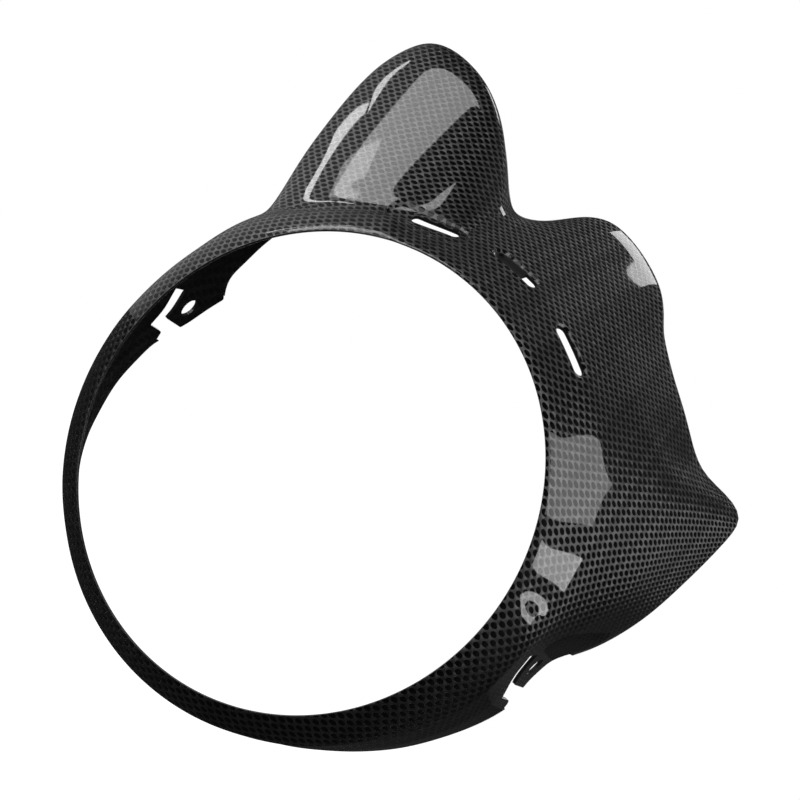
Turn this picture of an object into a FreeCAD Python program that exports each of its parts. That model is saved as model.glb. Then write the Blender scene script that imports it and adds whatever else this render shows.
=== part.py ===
import FreeCAD, Part
import math
import os
from collections import namedtuple

# Headlight cowl: one moulded carbon laminate shell.
# Frame: origin at the centre of the lamp opening on its front plane. +X is to the right of
# someone who faces the lamp, +Y runs back towards the rider, +Z is up. Millimetres throughout.

# Lamp ring
LAMP_OPENING_RADIUS = 92.0
LIP_TRIM = 1.4
LIP_FLAT = 1.6
NOSE_DEPTH = 6.8
LOW_NOSE_GROWTH = 10.3
FULL_NOSE_GROWTH = 11.2
LEAN_NOSE_GROWTH = 6.6

# Laminate
WALL = 1.4

# Side ears, one each side of the lamp, seen along X
EAR_HOLE_RADIUS = 4.25
EAR_HOLE_DEPTH = 49.6
EAR_HOLE_HEIGHT = 5.9
EAR_BEFORE_HOLE = 7.3
EAR_BEHIND_HOLE = 8.3
EAR_BELOW_HOLE = 9.4
EAR_FRONT_LEAN = 5.4
EAR_REAR_RAKE = 7.6
EAR_SHOULDER_ABOVE_HOLE = 12.1
EAR_CORNER_ROUND = 1.0
NOTCH_MOUTH_WIDTH = 7.0
NOTCH_TOP_WIDTH = 9.0
NOTCH_ABOVE_HOLE = 5.1
NOTCH_CORNER_ROUND = 0.8
MOUTH_HEIGHT = 6.4
BAND_CORNER_LENGTH = 12.6
BAND_CORNER_DROP = 4.0
BAND_CORNER_ROUND = 3.0
LEFT_STEP_LENGTH = 10.0
LEFT_STEP_RISE = 5.5
STEP_ROUND = 2.0
EAR_CUT_REACH = 20.0

# Vent slots over the lamp, each in a shallow recess. A tab inside the shell stands behind the
# middle slot, which opens only beside it.
SLOT_LENGTH = 21.2
SLOT_WIDTH = 5.0
SLOTS_BELOW_FOOT = 1.1
RECESS_DEPTH = 0.8
MIDDLE_SLOT_OPEN_LENGTH = 7.3
TAB_MARGIN = 3.0
TAB_THICKNESS = 1.4
TAB_SINK = 0.2
SLOT_REACH = 6.0
LIP_CUT_REACH = 5.0

# The moulded surface: control columns round the ring, and where the extra control points of
# one column stand on the straight lines from nose to foot, foot to brow and brow to rim
COLUMNS = 120
NOSE_TO_FOOT_SHARES = (0.6,)
FOOT_TO_BROW_SHARES = (0.14, 0.48, 0.84)
BROW_TO_RIM_SHARES = (0.3, 0.65)
TOP_ANGLE = 90.0
BOTTOM_ANGLE = -90.0
FULL_TURN = 360.0
DEGREE = 3

# A station is a radial cut through the shell. Its angle is measured round the lamp axis from the
# viewer's right towards the top. nose, foot, brow and rim steer the outer skin: each is a radius
# from the lamp axis and a depth behind the opening. nose is on the rolled front edge, foot is
# where the shoulder ends, brow is where the flank turns back, rim is the trimmed rear edge.
Station = namedtuple("Station", "angle nose foot brow rim")

# A vent slot: its angle round the lamp axis, how far it stands back up the slope, the degrees it
# is turned by, how much wider its recess is all round, how far the recess reaches down the slope
# besides, and how much further it runs towards the hood.
Slot = namedtuple("Slot", "angle setback turn recess_margin recess_drop recess_extra_length")

LOW_NOSE = (LAMP_OPENING_RADIUS + LOW_NOSE_GROWTH, NOSE_DEPTH)
FULL_NOSE = (LAMP_OPENING_RADIUS + FULL_NOSE_GROWTH, NOSE_DEPTH)
LEAN_NOSE = (LAMP_OPENING_RADIUS + LEAN_NOSE_GROWTH, NOSE_DEPTH)
CROWN_FOOT = (109.5, 19.0)

# Band under the lamp, the same on both sides, by its angle below the side ears.
LOWER_BAND = [
    (90.0, LOW_NOSE, (101.6, 11.0), (102.0, 16.0), (102.2, 19.5)),
    (60.0, LOW_NOSE, (101.6, 11.0), (102.0, 16.0), (102.2, 20.0)),
    (44.0, FULL_NOSE, (102.9, 12.0), (104.0, 17.0), (104.1, 22.0)),
    (35.0, FULL_NOSE, (104.2, 12.5), (105.6, 19.0), (106.1, 27.5)),
    (28.0, FULL_NOSE, (105.0, 13.0), (107.0, 22.0), (107.7, 34.3)),
    (20.0, FULL_NOSE, (105.8, 13.5), (108.4, 26.0), (109.0, 40.8)),
    (14.0, FULL_NOSE, (106.3, 14.0), (109.3, 29.0), (110.0, 47.8)),
    (7.0, FULL_NOSE, (106.8, 14.5), (109.4, 32.0), (110.8, 55.0)),
    (0.0, FULL_NOSE, (106.6, 15.0), (106.6, 34.0), (108.2, 70.0)),
]

# Right wing, from the ear up to its rear corner and in along its top edge
RIGHT_WING = [
    Station(6.0, FULL_NOSE, (106.6, 16.0), (107.2, 36.0), (108.6, 71.0)),
    Station(10.5, FULL_NOSE, (106.8, 16.5), (111.2, 40.0), (115.0, 71.0)),
    Station(14.5, LEAN_NOSE, (106.8, 17.0), (114.6, 42.0), (120.6, 71.0)),
    Station(22.0, LEAN_NOSE, (107.2, 18.0), (121.0, 46.0), (129.9, 76.0)),
    Station(30.0, LEAN_NOSE, (107.8, 18.5), (127.0, 50.0), (139.2, 86.0)),
    Station(37.7, LEAN_NOSE, (108.2, 18.5), (130.0, 51.0), (150.6, 96.5)),
    Station(42.2, LEAN_NOSE, (108.4, 18.5), (131.0, 51.0), (157.8, 101.5)),
    Station(45.6, LEAN_NOSE, (108.6, 18.5), (130.0, 50.0), (152.0, 97.0)),
    Station(49.0, LEAN_NOSE, (108.8, 18.5), (128.0, 48.0), (142.0, 86.0)),
    Station(53.7, LEAN_NOSE, (109.0, 18.5), (126.0, 46.0), (140.6, 78.0)),
    Station(62.0, LEAN_NOSE, CROWN_FOOT, (124.5, 44.0), (140.3, 74.0)),
]

# Crown: the small centre hump and the saddle beside it
CROWN = [
    Station(71.0, LEAN_NOSE, CROWN_FOOT, (126.5, 45.0), (143.6, 75.0)),
    Station(77.4, LEAN_NOSE, CROWN_FOOT, (131.5, 50.0), (152.4, 80.0)),
    Station(83.8, LEAN_NOSE, CROWN_FOOT, (136.0, 54.0), (157.2, 83.5)),
    Station(90.7, LEAN_NOSE, CROWN_FOOT, (137.0, 54.0), (159.6, 83.0)),
    Station(94.6, LEAN_NOSE, CROWN_FOOT, (135.0, 52.0), (158.6, 80.0)),
    Station(97.6, LEAN_NOSE, CROWN_FOOT, (131.5, 48.0), (145.8, 71.5)),
    Station(101.0, LEAN_NOSE, CROWN_FOOT, (128.8, 45.0), (137.2, 65.0)),
]

# Instrument hood on the viewer's left: a tall face that leans back, rolled over all round
HOOD = [
    Station(104.5, LEAN_NOSE, CROWN_FOOT, (130.4, 43.5), (135.2, 62.5)),
    Station(108.1, LEAN_NOSE, (109.0, 19.0), (149.0, 49.0), (144.5, 67.0)),
    Station(112.3, LEAN_NOSE, (108.0, 18.5), (169.0, 50.0), (165.0, 69.0)),
    Station(117.3, FULL_NOSE, (106.5, 16.5), (185.6, 51.5), (183.0, 71.0)),
    Station(121.0, FULL_NOSE, (105.6, 15.0), (194.0, 52.5), (192.0, 72.0)),
    Station(125.3, FULL_NOSE, (105.2, 14.0), (199.9, 53.0), (199.0, 73.0)),
    Station(131.2, FULL_NOSE, (105.2, 13.5), (186.5, 48.0), (186.5, 70.0)),
    Station(137.4, FULL_NOSE, (105.8, 14.0), (157.2, 38.0), (158.5, 60.0)),
    Station(142.3, FULL_NOSE, (107.8, 15.0), (136.4, 31.0), (137.4, 52.0)),
    Station(146.7, FULL_NOSE, (109.6, 15.5), (121.0, 28.0), (120.5, 47.0)),
]

# Left side, from the hood down to the ear
LEFT_SIDE = [
    Station(152.0, FULL_NOSE, (109.6, 15.0), (112.8, 28.0), (111.4, 43.0)),
    Station(160.0, FULL_NOSE, (108.4, 14.8), (110.2, 31.0), (109.8, 50.0)),
    Station(166.0, FULL_NOSE, (107.2, 14.8), (109.2, 34.0), (109.0, 54.5)),
    Station(173.0, FULL_NOSE, (106.8, 15.0), (108.3, 36.0), (107.9, 72.0)),
]

# From the hood's side of the lamp to the wing's
SLOTS = [
    Slot(109.9, -1.3, 2.5, 2.6, 3.6, 5.5),
    Slot(90.5, 3.2, 0.0, 1.0, 0.0, 0.0),
    Slot(69.2, 0.0, -2.5, 1.0, 0.0, 0.0),
]
MIDDLE_SLOT = SLOTS[1]


def all_stations():
    """List every station once round the ring, from the bottom through the right, top and left."""
    right_band = [Station(-row[0], *row[1:]) for row in LOWER_BAND]
    left_band = [Station(180.0 + row[0], *row[1:]) for row in reversed(LOWER_BAND)]
    return right_band + RIGHT_WING + CROWN + HOOD + LEFT_SIDE + left_band[:-1]


def limited_slopes(angles, values):
    """Slopes of a closed curve through the values that never overshoots between them."""
    count = len(angles)
    steps = [(angles[(i + 1) % count] - angles[i]) % FULL_TURN for i in range(count)]
    rises = [(values[(i + 1) % count] - values[i]) / steps[i] for i in range(count)]
    slopes = []
    for i in range(count):
        before, after = rises[i - 1], rises[i]
        if before * after <= 0.0:
            slopes.append(0.0)
            continue
        weight_before = 2.0 * steps[i] + steps[i - 1]
        weight_after = steps[i] + 2.0 * steps[i - 1]
        total = weight_before + weight_after
        slopes.append(total / (weight_before / before + weight_after / after))
    return steps, slopes


def value_at(angle, angles, values, steps, slopes):
    """Read the closed curve through the station values at one angle."""
    count = len(angles)
    for i in range(count):
        offset = (angle - angles[i]) % FULL_TURN
        if offset < steps[i]:
            t = offset / steps[i]
            low, high = values[i], values[(i + 1) % count]
            low_slope = slopes[i] * steps[i]
            high_slope = slopes[(i + 1) % count] * steps[i]
            return (
                low * (1.0 + 2.0 * t) * (1.0 - t) ** 2
                + low_slope * t * (1.0 - t) ** 2
                + high * t * t * (3.0 - 2.0 * t)
                + high_slope * t * t * (t - 1.0)
            )
    return values[0]


def between(start, end, shares):
    """Points on the straight line from start to end, at the given shares of its length."""
    return [tuple(a + (b - a) * share for a, b in zip(start, end)) for share in shares]


def profile(nose, foot, brow, rim):
    """Control points of one radial cut, from the lip to the trimmed rear edge."""
    return [
        (LAMP_OPENING_RADIUS - LIP_TRIM, 0.0),
        (LAMP_OPENING_RADIUS + LIP_FLAT, 0.0),
        nose,
        *between(nose, foot, NOSE_TO_FOOT_SHARES),
        foot,
        *between(foot, brow, FOOT_TO_BROW_SHARES),
        brow,
        *between(brow, rim, BROW_TO_RIM_SHARES),
        rim,
    ]


def control_net():
    """Control points of the outer skin: one list of rows for each column round the ring."""
    stations = all_stations()
    angles = [station.angle % FULL_TURN for station in stations]
    curves = {}
    for name in ("nose", "foot", "brow", "rim"):
        for part in (0, 1):
            values = [getattr(station, name)[part] for station in stations]
            curves[name, part] = (values, *limited_slopes(angles, values))
    net = []
    for column in range(COLUMNS):
        angle = BOTTOM_ANGLE + FULL_TURN * column / COLUMNS
        points = {}
        for name in ("nose", "foot", "brow", "rim"):
            points[name] = tuple(value_at(angle, angles, *curves[name, part]) for part in (0, 1))
        turn = math.radians(angle)
        rows = profile(**points)
        net.append([
            FreeCAD.Vector(radius * math.cos(turn), depth, radius * math.sin(turn))
            for radius, depth in rows
        ])
    return net


def offset_net(net, distance):
    """Move each control point along the local outward normal of the net."""
    moved = []
    rows = len(net[0])
    for i, column in enumerate(net):
        before, after = net[i - 1], net[(i + 1) % len(net)]
        moved_column = []
        for j, point in enumerate(column):
            around = after[j] - before[j]
            along = column[min(j + 1, rows - 1)] - column[max(j - 1, 0)]
            normal = along.cross(around)
            normal.normalize()
            moved_column.append(point + normal * distance)
        moved.append(moved_column)
    return moved


def skin(net):
    """Closed smooth surface steered by a control net."""
    rows = len(net[0])
    spans = rows - DEGREE
    surface = Part.BSplineSurface()
    surface.buildFromPolesMultsKnots(
        net,
        [1] * (COLUMNS + 1),
        [DEGREE + 1] + [1] * (spans - 1) + [DEGREE + 1],
        [float(i) for i in range(COLUMNS + 1)],
        [float(i) for i in range(spans + 1)],
        True,
        False,
        DEGREE,
        DEGREE,
    )
    return surface


def layer(net, outside, inside):
    """Solid between two offsets of the outer skin, both measured outwards."""
    outer = skin(offset_net(net, outside))
    inner = skin(offset_net(net, inside))
    last = float(len(net[0]) - DEGREE)
    faces = [outer.toShape(), inner.toShape()]
    for v in (0.0, last):
        faces.append(Part.makeRuledSurface(outer.vIso(v).toShape(), inner.vIso(v).toShape()))
    shell = Part.makeShell(faces)
    shell.sewShape()
    solid = Part.makeSolid(shell)
    if solid.Volume < 0.0:
        solid.reverse()
    return solid


def rounded_face(corners, from_x):
    """Flat face across X from corners given as (depth, height, rounding radius)."""
    points = [FreeCAD.Vector(from_x, depth, height) for depth, height, radius in corners]
    edges = []
    ends = []
    for i, (depth, height, radius) in enumerate(corners):
        here = points[i]
        back = (points[i - 1] - here).normalize()
        ahead = (points[(i + 1) % len(points)] - here).normalize()
        if radius == 0.0:
            ends.append((here, here))
            continue
        half_angle = back.getAngle(ahead) / 2.0
        reach = radius / math.tan(half_angle)
        middle = (back + ahead).normalize() * (radius / math.sin(half_angle) - radius)
        ends.append((here + back * reach, here + ahead * reach))
        edges.append(Part.Arc(here + back * reach, here + middle, here + ahead * reach).toShape())
    for i, (arrive, leave) in enumerate(ends):
        edges.append(Part.makeLine(ends[i - 1][1], arrive))
    return Part.Face(Part.Wire(Part.__sortEdges__(edges)))


def ear_outline(step_length, step_rise):
    """Corners of what is trimmed away round one ear, as (depth, height, rounding radius).

    Above the ear the edge steps forward by the step's length and rise, or runs straight back
    where both are nought.
    """
    tip = EAR_HOLE_HEIGHT - EAR_BELOW_HOLE
    notch_top = EAR_HOLE_HEIGHT + NOTCH_ABOVE_HOLE
    mouth_floor = tip - MOUTH_HEIGHT
    shoulder = EAR_HOLE_HEIGHT + EAR_SHOULDER_ABOVE_HOLE
    front_low = EAR_HOLE_DEPTH - EAR_BEFORE_HOLE
    front_high = front_low - EAR_FRONT_LEAN
    rear_low = EAR_HOLE_DEPTH + EAR_BEHIND_HOLE
    rear_high = rear_low + EAR_REAR_RAKE
    lean_below = EAR_FRONT_LEAN * MOUTH_HEIGHT / (notch_top - tip)
    behind_all = max(station.rim[1] for station in all_stations()) + WALL
    mouth_front = front_low - NOTCH_MOUTH_WIDTH + lean_below
    band_corner = mouth_front + BAND_CORNER_LENGTH
    step = []
    if step_length > 0.0:
        step = [(rear_high - step_length, shoulder + step_rise, STEP_ROUND)]
    return [
        (front_high - NOTCH_TOP_WIDTH, notch_top, NOTCH_CORNER_ROUND),
        (front_high, notch_top, NOTCH_CORNER_ROUND),
        (front_low, tip, EAR_CORNER_ROUND),
        (rear_low, tip, EAR_CORNER_ROUND),
        (rear_high, shoulder, EAR_CORNER_ROUND),
        *step,
        (behind_all, shoulder + step_rise, 0.0),
        (behind_all, mouth_floor - BAND_CORNER_DROP, 0.0),
        (band_corner + BAND_CORNER_DROP / 2.0, mouth_floor - BAND_CORNER_DROP, 0.0),
        (band_corner, mouth_floor, BAND_CORNER_ROUND),
        (mouth_front, mouth_floor, NOTCH_CORNER_ROUND),
    ]


def ear_cuts():
    """Everything trimmed or drilled at the two ears."""
    cuts = []
    cut_from = FULL_NOSE[0] - EAR_CUT_REACH
    for side, step_length, step_rise in ((1.0, 0.0, 0.0), (-1.0, LEFT_STEP_LENGTH, LEFT_STEP_RISE)):
        outline = rounded_face(ear_outline(step_length, step_rise), side * cut_from)
        across = FreeCAD.Vector(side * 2.0 * EAR_CUT_REACH, 0.0, 0.0)
        hole_start = FreeCAD.Vector(side * cut_from, EAR_HOLE_DEPTH, EAR_HOLE_HEIGHT)
        cuts.append(outline.extrude(across))
        cuts.append(Part.makeCylinder(EAR_HOLE_RADIUS, across.Length, hole_start, across))
    return cuts


def slot_frame(slot):
    """Seat of one slot with its directions outward, round the lamp and up the slope."""
    slope = FreeCAD.Vector(CROWN_FOOT[0] - LEAN_NOSE[0], CROWN_FOOT[1] - LEAN_NOSE[1], 0.0)
    slope.normalize()
    place = math.radians(slot.angle)
    turn = math.radians(slot.angle + slot.turn)
    back = FreeCAD.Vector(0.0, 1.0, 0.0)
    radial = FreeCAD.Vector(math.cos(turn), 0.0, math.sin(turn))
    around = FreeCAD.Vector(-math.sin(turn), 0.0, math.cos(turn))
    up_the_slope = radial * slope.x + back * slope.y
    outward = radial * slope.y - back * slope.x
    foot = FreeCAD.Vector(math.cos(place), 0.0, math.sin(place)) * CROWN_FOOT[0] + back * CROWN_FOOT[1]
    return foot + up_the_slope * (slot.setback - SLOTS_BELOW_FOOT), outward, around, up_the_slope


def stadium(middle, outward, along, across, straight, radius):
    """Prism through the wall with a rounded outline, its straight sides along one direction."""
    low = middle - outward * SLOT_REACH
    half = along * (straight / 2.0)
    arcs = []
    for end, sign in ((low - half, -1.0), (low + half, 1.0)):
        side = across * radius * sign
        arcs.append(Part.Arc(end + side, end + along * radius * sign, end - side).toShape())
    sides = [
        Part.makeLine(arcs[0].Vertexes[-1].Point, arcs[1].Vertexes[0].Point),
        Part.makeLine(arcs[1].Vertexes[-1].Point, arcs[0].Vertexes[0].Point),
    ]
    face = Part.Face(Part.Wire(Part.__sortEdges__([*arcs, *sides])))
    return face.extrude(outward * 2.0 * SLOT_REACH)


def slot_prism(slot):
    """Prism of the slot itself."""
    seat, outward, around, up_the_slope = slot_frame(slot)
    return stadium(seat, outward, around, up_the_slope, SLOT_LENGTH - SLOT_WIDTH, SLOT_WIDTH / 2.0)


def recess_prism(slot, margin):
    """Prism of the slot's recess, wider all round by the margin."""
    seat, outward, around, up_the_slope = slot_frame(slot)
    middle = seat + around * (slot.recess_extra_length / 2.0) - up_the_slope * (slot.recess_drop / 2.0)
    straight = SLOT_LENGTH - SLOT_WIDTH + slot.recess_extra_length
    radius = SLOT_WIDTH / 2.0 + slot.recess_margin + slot.recess_drop / 2.0 + margin
    return stadium(middle, outward, around, up_the_slope, straight, radius)


def tab_prism(slot):
    """Box prism over the part of one slot that the inner tab stands behind."""
    seat, outward, around, up_the_slope = slot_frame(slot)
    low = seat - outward * SLOT_REACH
    first = around * (MIDDLE_SLOT_OPEN_LENGTH - SLOT_LENGTH / 2.0)
    last = around * (SLOT_LENGTH / 2.0 + TAB_MARGIN)
    side = up_the_slope * (SLOT_WIDTH / 2.0 + TAB_MARGIN)
    corners = [low + first - side, low + last - side, low + last + side, low + first + side]
    face = Part.Face(Part.makePolygon([*corners, corners[0]]))
    return face.extrude(outward * 2.0 * SLOT_REACH)


def cowl_shell():
    """The whole moulded shell with its opening, slots and ears."""
    net = control_net()
    shell = layer(net, 0.0, -WALL)
    pocket_layer = layer(net, RECESS_DEPTH, -RECESS_DEPTH)
    backing_layer = layer(net, -WALL + RECESS_DEPTH / 2.0, -WALL - RECESS_DEPTH)
    cuts = []
    for slot in SLOTS:
        shell = shell.fuse(recess_prism(slot, RECESS_DEPTH).common(backing_layer))
        cuts.append(recess_prism(slot, 0.0).common(pocket_layer))
        cuts.append(slot_prism(slot))
    cuts += ear_cuts()
    cuts.append(
        Part.makeCylinder(
            LAMP_OPENING_RADIUS,
            2.0 * LIP_CUT_REACH,
            FreeCAD.Vector(0.0, -LIP_CUT_REACH, 0.0),
            FreeCAD.Vector(0.0, 1.0, 0.0),
        )
    )
    for cut in cuts:
        shell = shell.cut(cut)
    inner_face = -WALL - RECESS_DEPTH
    tab_layer = layer(net, inner_face + TAB_SINK, inner_face - TAB_THICKNESS)
    return shell.fuse(tab_prism(MIDDLE_SLOT).common(tab_layer))


if __name__ == "__main__":
    os.makedirs("parts", exist_ok=True)
    part = cowl_shell()
    print("solids", len(part.Solids), "valid", part.isValid(), "volume", round(part.Volume, 1))
    print("box", part.BoundBox)
    part.Solids[0].exportStep("parts/cowl_shell.step")
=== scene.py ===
import logging
import math
from dataclasses import dataclass, field
from enum import Enum

import bmesh
import bpy
import numpy as np
from mathutils import Matrix, Vector


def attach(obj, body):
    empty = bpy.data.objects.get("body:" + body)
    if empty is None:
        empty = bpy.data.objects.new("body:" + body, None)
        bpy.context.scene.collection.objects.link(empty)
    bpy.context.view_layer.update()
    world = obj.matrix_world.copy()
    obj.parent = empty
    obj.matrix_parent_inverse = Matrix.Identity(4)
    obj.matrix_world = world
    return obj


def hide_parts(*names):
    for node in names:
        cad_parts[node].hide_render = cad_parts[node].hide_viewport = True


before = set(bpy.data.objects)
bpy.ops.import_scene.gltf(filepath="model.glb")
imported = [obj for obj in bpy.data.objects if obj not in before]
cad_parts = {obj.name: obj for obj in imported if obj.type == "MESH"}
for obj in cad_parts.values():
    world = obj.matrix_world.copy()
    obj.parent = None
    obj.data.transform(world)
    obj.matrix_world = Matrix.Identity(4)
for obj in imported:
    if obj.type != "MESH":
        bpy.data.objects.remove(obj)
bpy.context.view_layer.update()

# Headlight cowl: one moulded shell of gloss carbon laminate, finished around its construction
# model. The origin is at the centre of the lamp opening on its front plane, +X is to the right of
# someone who faces the lamp, +Y runs back towards the rider and +Z is up. The shell is worked out
# in millimetres and degrees. Its mesh, the finishes and the studio are in metres.

LOG = logging.getLogger("cowl")
MM = 0.001
FULL_TURN = 360.0
BOTTOM_ANGLE = -90.0
SPLINE_DEGREE = 3
CAD_NODE = "cowl_shell"
CLOTH_MAP = "cloth"
WHITE = (1.0, 1.0, 1.0, 1.0)
Socket = bpy.types.NodeSocket
Triple = tuple[float, float, float]
Band = tuple[float, float, int]


class Skin(Enum):
    """Which finish a face of the shell takes: the value is its material index."""

    OUTER = 0
    INNER = 1
    EDGE = 2


class Side(Enum):
    """The two sides of the lamp, as the sign of X."""

    RIGHT = 1.0
    LEFT = -1.0


@dataclass(frozen=True)
class Station:
    """A radial cut through the shell: (radius, depth) of the four places that steer its curve."""

    angle: float
    nose: tuple[float, float]
    foot: tuple[float, float]
    brow: tuple[float, float]
    rim: tuple[float, float]


@dataclass(frozen=True)
class LampRing:
    """Sizes of the rolled ring round the lamp, in millimetres."""

    radius: float = 92.0
    trim: float = 1.4
    flat: float = 1.6
    nose_depth: float = 6.8
    low_growth: float = 10.3
    full_growth: float = 11.2
    lean_growth: float = 6.6

    def nose(self, growth: float) -> tuple[float, float]:
        """Radius and depth of the rolled front edge for one growth over the lamp opening."""
        return (self.radius + growth, self.nose_depth)


RING = LampRing()
LOW_NOSE = RING.nose(RING.low_growth)
FULL_NOSE = RING.nose(RING.full_growth)
LEAN_NOSE = RING.nose(RING.lean_growth)
CROWN_FOOT = (109.5, 19.0)

# Band under the lamp, the same on both sides, by its angle below the side ears
LOWER_BAND = [
    (90.0, LOW_NOSE, (101.6, 11.0), (102.0, 16.0), (102.2, 19.5)),
    (60.0, LOW_NOSE, (101.6, 11.0), (102.0, 16.0), (102.2, 20.0)),
    (44.0, FULL_NOSE, (102.9, 12.0), (104.0, 17.0), (104.1, 22.0)),
    (35.0, FULL_NOSE, (104.2, 12.5), (105.6, 19.0), (106.1, 27.5)),
    (28.0, FULL_NOSE, (105.0, 13.0), (107.0, 22.0), (107.7, 34.3)),
    (20.0, FULL_NOSE, (105.8, 13.5), (108.4, 26.0), (109.0, 40.8)),
    (14.0, FULL_NOSE, (106.3, 14.0), (109.3, 29.0), (110.0, 47.8)),
    (7.0, FULL_NOSE, (106.8, 14.5), (109.4, 32.0), (110.8, 55.0)),
    (0.0, FULL_NOSE, (106.6, 15.0), (106.6, 34.0), (108.2, 70.0)),
]

# Right wing, from the ear up to its rear corner and in along its top edge
RIGHT_WING = [
    Station(6.0, FULL_NOSE, (106.6, 16.0), (107.2, 36.0), (108.6, 71.0)),
    Station(10.5, FULL_NOSE, (106.8, 16.5), (111.2, 40.0), (115.0, 71.0)),
    Station(14.5, LEAN_NOSE, (106.8, 17.0), (114.6, 42.0), (120.6, 71.0)),
    Station(22.0, LEAN_NOSE, (107.2, 18.0), (121.0, 46.0), (129.9, 76.0)),
    Station(30.0, LEAN_NOSE, (107.8, 18.5), (127.0, 50.0), (139.2, 86.0)),
    Station(37.7, LEAN_NOSE, (108.2, 18.5), (130.0, 51.0), (150.6, 96.5)),
    Station(42.2, LEAN_NOSE, (108.4, 18.5), (131.0, 51.0), (157.8, 101.5)),
    Station(45.6, LEAN_NOSE, (108.6, 18.5), (130.0, 50.0), (152.0, 97.0)),
    Station(49.0, LEAN_NOSE, (108.8, 18.5), (128.0, 48.0), (142.0, 86.0)),
    Station(53.7, LEAN_NOSE, (109.0, 18.5), (126.0, 46.0), (140.6, 78.0)),
    Station(62.0, LEAN_NOSE, CROWN_FOOT, (124.5, 44.0), (140.3, 74.0)),
]

# Crown: the small centre hump and the saddle beside it
CROWN = [
    Station(71.0, LEAN_NOSE, CROWN_FOOT, (126.5, 45.0), (143.6, 75.0)),
    Station(77.4, LEAN_NOSE, CROWN_FOOT, (131.5, 50.0), (152.4, 80.0)),
    Station(83.8, LEAN_NOSE, CROWN_FOOT, (136.0, 54.0), (157.2, 83.5)),
    Station(90.7, LEAN_NOSE, CROWN_FOOT, (137.0, 54.0), (159.6, 83.0)),
    Station(94.6, LEAN_NOSE, CROWN_FOOT, (135.0, 52.0), (158.6, 80.0)),
    Station(97.6, LEAN_NOSE, CROWN_FOOT, (131.5, 48.0), (145.8, 71.5)),
    Station(101.0, LEAN_NOSE, CROWN_FOOT, (128.8, 45.0), (137.2, 65.0)),
]

# Instrument hood on the viewer's left: a tall face that leans back, rolled over all round
HOOD = [
    Station(104.5, LEAN_NOSE, CROWN_FOOT, (130.4, 43.5), (135.2, 62.5)),
    Station(108.1, LEAN_NOSE, (109.0, 19.0), (149.0, 49.0), (144.5, 67.0)),
    Station(112.3, LEAN_NOSE, (108.0, 18.5), (169.0, 50.0), (165.0, 69.0)),
    Station(117.3, FULL_NOSE, (106.5, 16.5), (185.6, 51.5), (183.0, 71.0)),
    Station(121.0, FULL_NOSE, (105.6, 15.0), (194.0, 52.5), (192.0, 72.0)),
    Station(125.3, FULL_NOSE, (105.2, 14.0), (199.9, 53.0), (199.0, 73.0)),
    Station(131.2, FULL_NOSE, (105.2, 13.5), (186.5, 48.0), (186.5, 70.0)),
    Station(137.4, FULL_NOSE, (105.8, 14.0), (157.2, 38.0), (158.5, 60.0)),
    Station(142.3, FULL_NOSE, (107.8, 15.0), (136.4, 31.0), (137.4, 52.0)),
    Station(146.7, FULL_NOSE, (109.6, 15.5), (121.0, 28.0), (120.5, 47.0)),
]

# Left side, from the hood down to the ear
LEFT_SIDE = [
    Station(152.0, FULL_NOSE, (109.6, 15.0), (112.8, 28.0), (111.4, 43.0)),
    Station(160.0, FULL_NOSE, (108.4, 14.8), (110.2, 31.0), (109.8, 50.0)),
    Station(166.0, FULL_NOSE, (107.2, 14.8), (109.2, 34.0), (109.0, 54.5)),
    Station(173.0, FULL_NOSE, (106.8, 15.0), (108.3, 36.0), (107.9, 72.0)),
]


def smooth_step(values: np.ndarray, low: float, high: float) -> np.ndarray:
    """Rise smoothly from nought at low to one at high.

    Args:
        values: Where to read the step.
        low: Last value that gives nought.
        high: First value that gives one.

    Returns:
        The step at each value.
    """
    share = np.clip((values - low) / (high - low), 0.0, 1.0)
    return share * share * (3.0 - 2.0 * share)


def closed_weights(places: np.ndarray, count: int) -> np.ndarray:
    """Weights of a closed uniform cubic spline.

    Args:
        places: Places along the spline, one unit from each control column to the next.
        count: Number of control columns.

    Returns:
        One row of weights for each place, one column for each control column.
    """
    whole = np.floor(places).astype(int)
    t = places - whole
    shares = [
        (1.0 - t) ** 3,
        3.0 * t ** 3 - 6.0 * t ** 2 + 4.0,
        -3.0 * t ** 3 + 3.0 * t ** 2 + 3.0 * t + 1.0,
        t ** 3,
    ]
    weights = np.zeros((len(places), count))
    for offset, share in enumerate(shares):
        weights[np.arange(len(places)), (whole - 1 + offset) % count] += share / 6.0
    return weights


def clamped_weights(places: np.ndarray, count: int) -> np.ndarray:
    """Weights of a cubic spline that starts and ends on its outermost control points.

    Args:
        places: Places along the spline, from nought to count less its degree.
        count: Number of control points.

    Returns:
        One row of weights for each place, one column for each control point.
    """
    degree = SPLINE_DEGREE
    spans = count - degree
    knots = np.concatenate([np.zeros(degree), np.arange(spans + 1.0), np.full(degree, float(spans))])
    span = np.clip(np.floor(places).astype(int), 0, spans - 1) + degree
    weights = np.zeros((len(places), len(knots) - 1))
    weights[np.arange(len(places)), span] = 1.0
    for order in range(1, degree + 1):
        raised = np.zeros((len(places), len(knots) - 1 - order))
        for i in range(raised.shape[1]):
            left = knots[i + order] - knots[i]
            right = knots[i + order + 1] - knots[i + 1]
            if left > 0.0:
                raised[:, i] += (places - knots[i]) / left * weights[:, i]
            if right > 0.0:
                raised[:, i] += (knots[i + order + 1] - places) / right * weights[:, i + 1]
        weights = raised
    return weights


def normals_of(points: np.ndarray) -> np.ndarray:
    """Outward unit normals of a grid that is closed along its first axis.

    Args:
        points: Grid of points, columns by rows by XYZ.

    Returns:
        One unit normal for each grid point.
    """
    around = np.roll(points, -1, axis=0) - np.roll(points, 1, axis=0)
    along = np.gradient(points, axis=1)
    normals = np.cross(along, around)
    return normals / np.linalg.norm(normals, axis=2, keepdims=True)


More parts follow.
